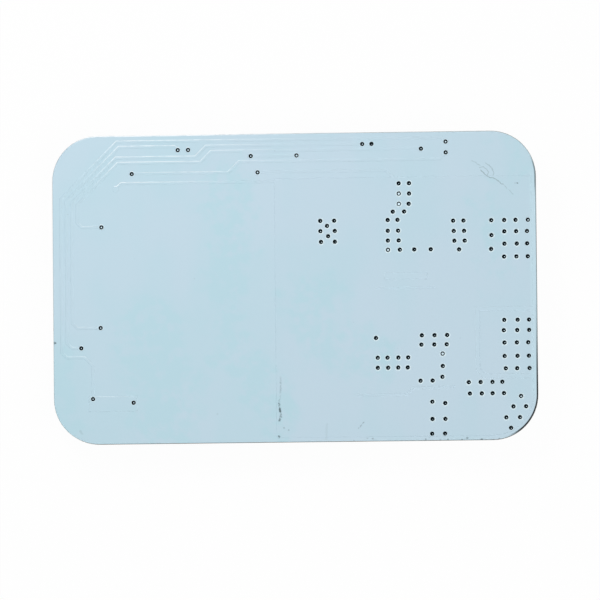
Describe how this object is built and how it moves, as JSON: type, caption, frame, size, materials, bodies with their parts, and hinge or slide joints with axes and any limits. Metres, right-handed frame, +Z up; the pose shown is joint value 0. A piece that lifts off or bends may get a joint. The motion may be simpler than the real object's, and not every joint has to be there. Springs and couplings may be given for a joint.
{
  "type": "battery protection board",
  "caption": "Printed board that guards a lithium battery pack: power switches, current shunts, cell balancing and a sense plug, shown plated-hole face up.",
  "frame": {"origin": "centre of the board's outline, on the surface that the board lies on (the underside of the plug header)", "axes": "+X along the board from the plug header towards the wire pads, +Y across it, +Z up out of the bare back face"},
  "size_m": [0.094, 0.06, 0.0072],
  "materials": {
    "laminate": "routed glass-epoxy, fibres show at the edge",
    "copper": "etched foil, covered by the solder mask",
    "hole_plating": "tarnished tin on the copper rings and barrels",
    "solder": "satin solder",
    "solder_mask": "pale blue ink, semi-gloss, lightly marked",
    "case_epoxy": "moulded black epoxy",
    "tinned_lead": "matt tin",
    "header_pin": "tin-plated brass",
    "shunt_alloy": "plain rolled alloy with tinned feet",
    "shunt_coat": "black resin coat",
    "header_nylon": "natural nylon, slightly translucent",
    "resistor_glaze": "black overglaze on white ceramic",
    "capacitor_ceramic": "fired brown ceramic",
    "end_cap_tin": "matt tin end caps"
  },
  "bodies": {
    "root": {"laminate": "laminate", "back_copper": "copper", "front_copper": "copper", "plated_holes": "hole_plating", "hole_solder": "solder", "solder_joints": "solder", "wire_pads": "solder", "back_solder_mask": "solder_mask", "front_solder_mask": "solder_mask", "power_transistor_1": "case_epoxy", "power_transistor_2": "case_epoxy", "power_transistor_3": "case_epoxy", "power_transistor_4": "case_epoxy", "power_transistor_5": "case_epoxy", "power_transistor_6": "case_epoxy", "protection_ic": "case_epoxy", "regulator": "case_epoxy", "surge_diode": "case_epoxy", "balance_transistor_1": "case_epoxy", "balance_transistor_2": "case_epoxy", "balance_transistor_3": "case_epoxy", "balance_transistor_4": "case_epoxy", "balance_transistor_5": "case_epoxy", "balance_transistor_6": "case_epoxy", "balance_transistor_7": "case_epoxy", "balance_transistor_8": "case_epoxy", "balance_transistor_9": "case_epoxy", "balance_transistor_10": "case_epoxy", "power_transistor_1_leadframe": "tinned_lead", "power_transistor_2_leadframe": "tinned_lead", "power_transistor_3_leadframe": "tinned_lead", "power_transistor_4_leadframe": "tinned_lead", "power_transistor_5_leadframe": "tinned_lead", "power_transistor_6_leadframe": "tinned_lead", "protection_ic_leads": "tinned_lead", "balance_transistor_leads": "tinned_lead", "regulator_leads": "tinned_lead", "surge_diode_leads": "tinned_lead", "header_hold_downs": "tinned_lead", "header_pins": "header_pin", "shunt_1": "shunt_alloy", "shunt_2": "shunt_alloy", "shunt_1_coat": "shunt_coat", "shunt_2_coat": "shunt_coat", "header_housing": "header_nylon", "balance_resistor_1": "resistor_glaze", "balance_resistor_2": "resistor_glaze", "balance_resistor_3": "resistor_glaze", "balance_resistor_4": "resistor_glaze", "balance_resistor_5": "resistor_glaze", "balance_resistor_6": "resistor_glaze", "balance_resistor_7": "resistor_glaze", "balance_resistor_8": "resistor_glaze", "balance_resistor_9": "resistor_glaze", "balance_resistor_10": "resistor_glaze", "small_resistors": "resistor_glaze", "small_capacitors": "capacitor_ceramic", "balance_resistor_caps": "end_cap_tin", "small_chip_caps": "end_cap_tin"}
  },
  "joints": []
}
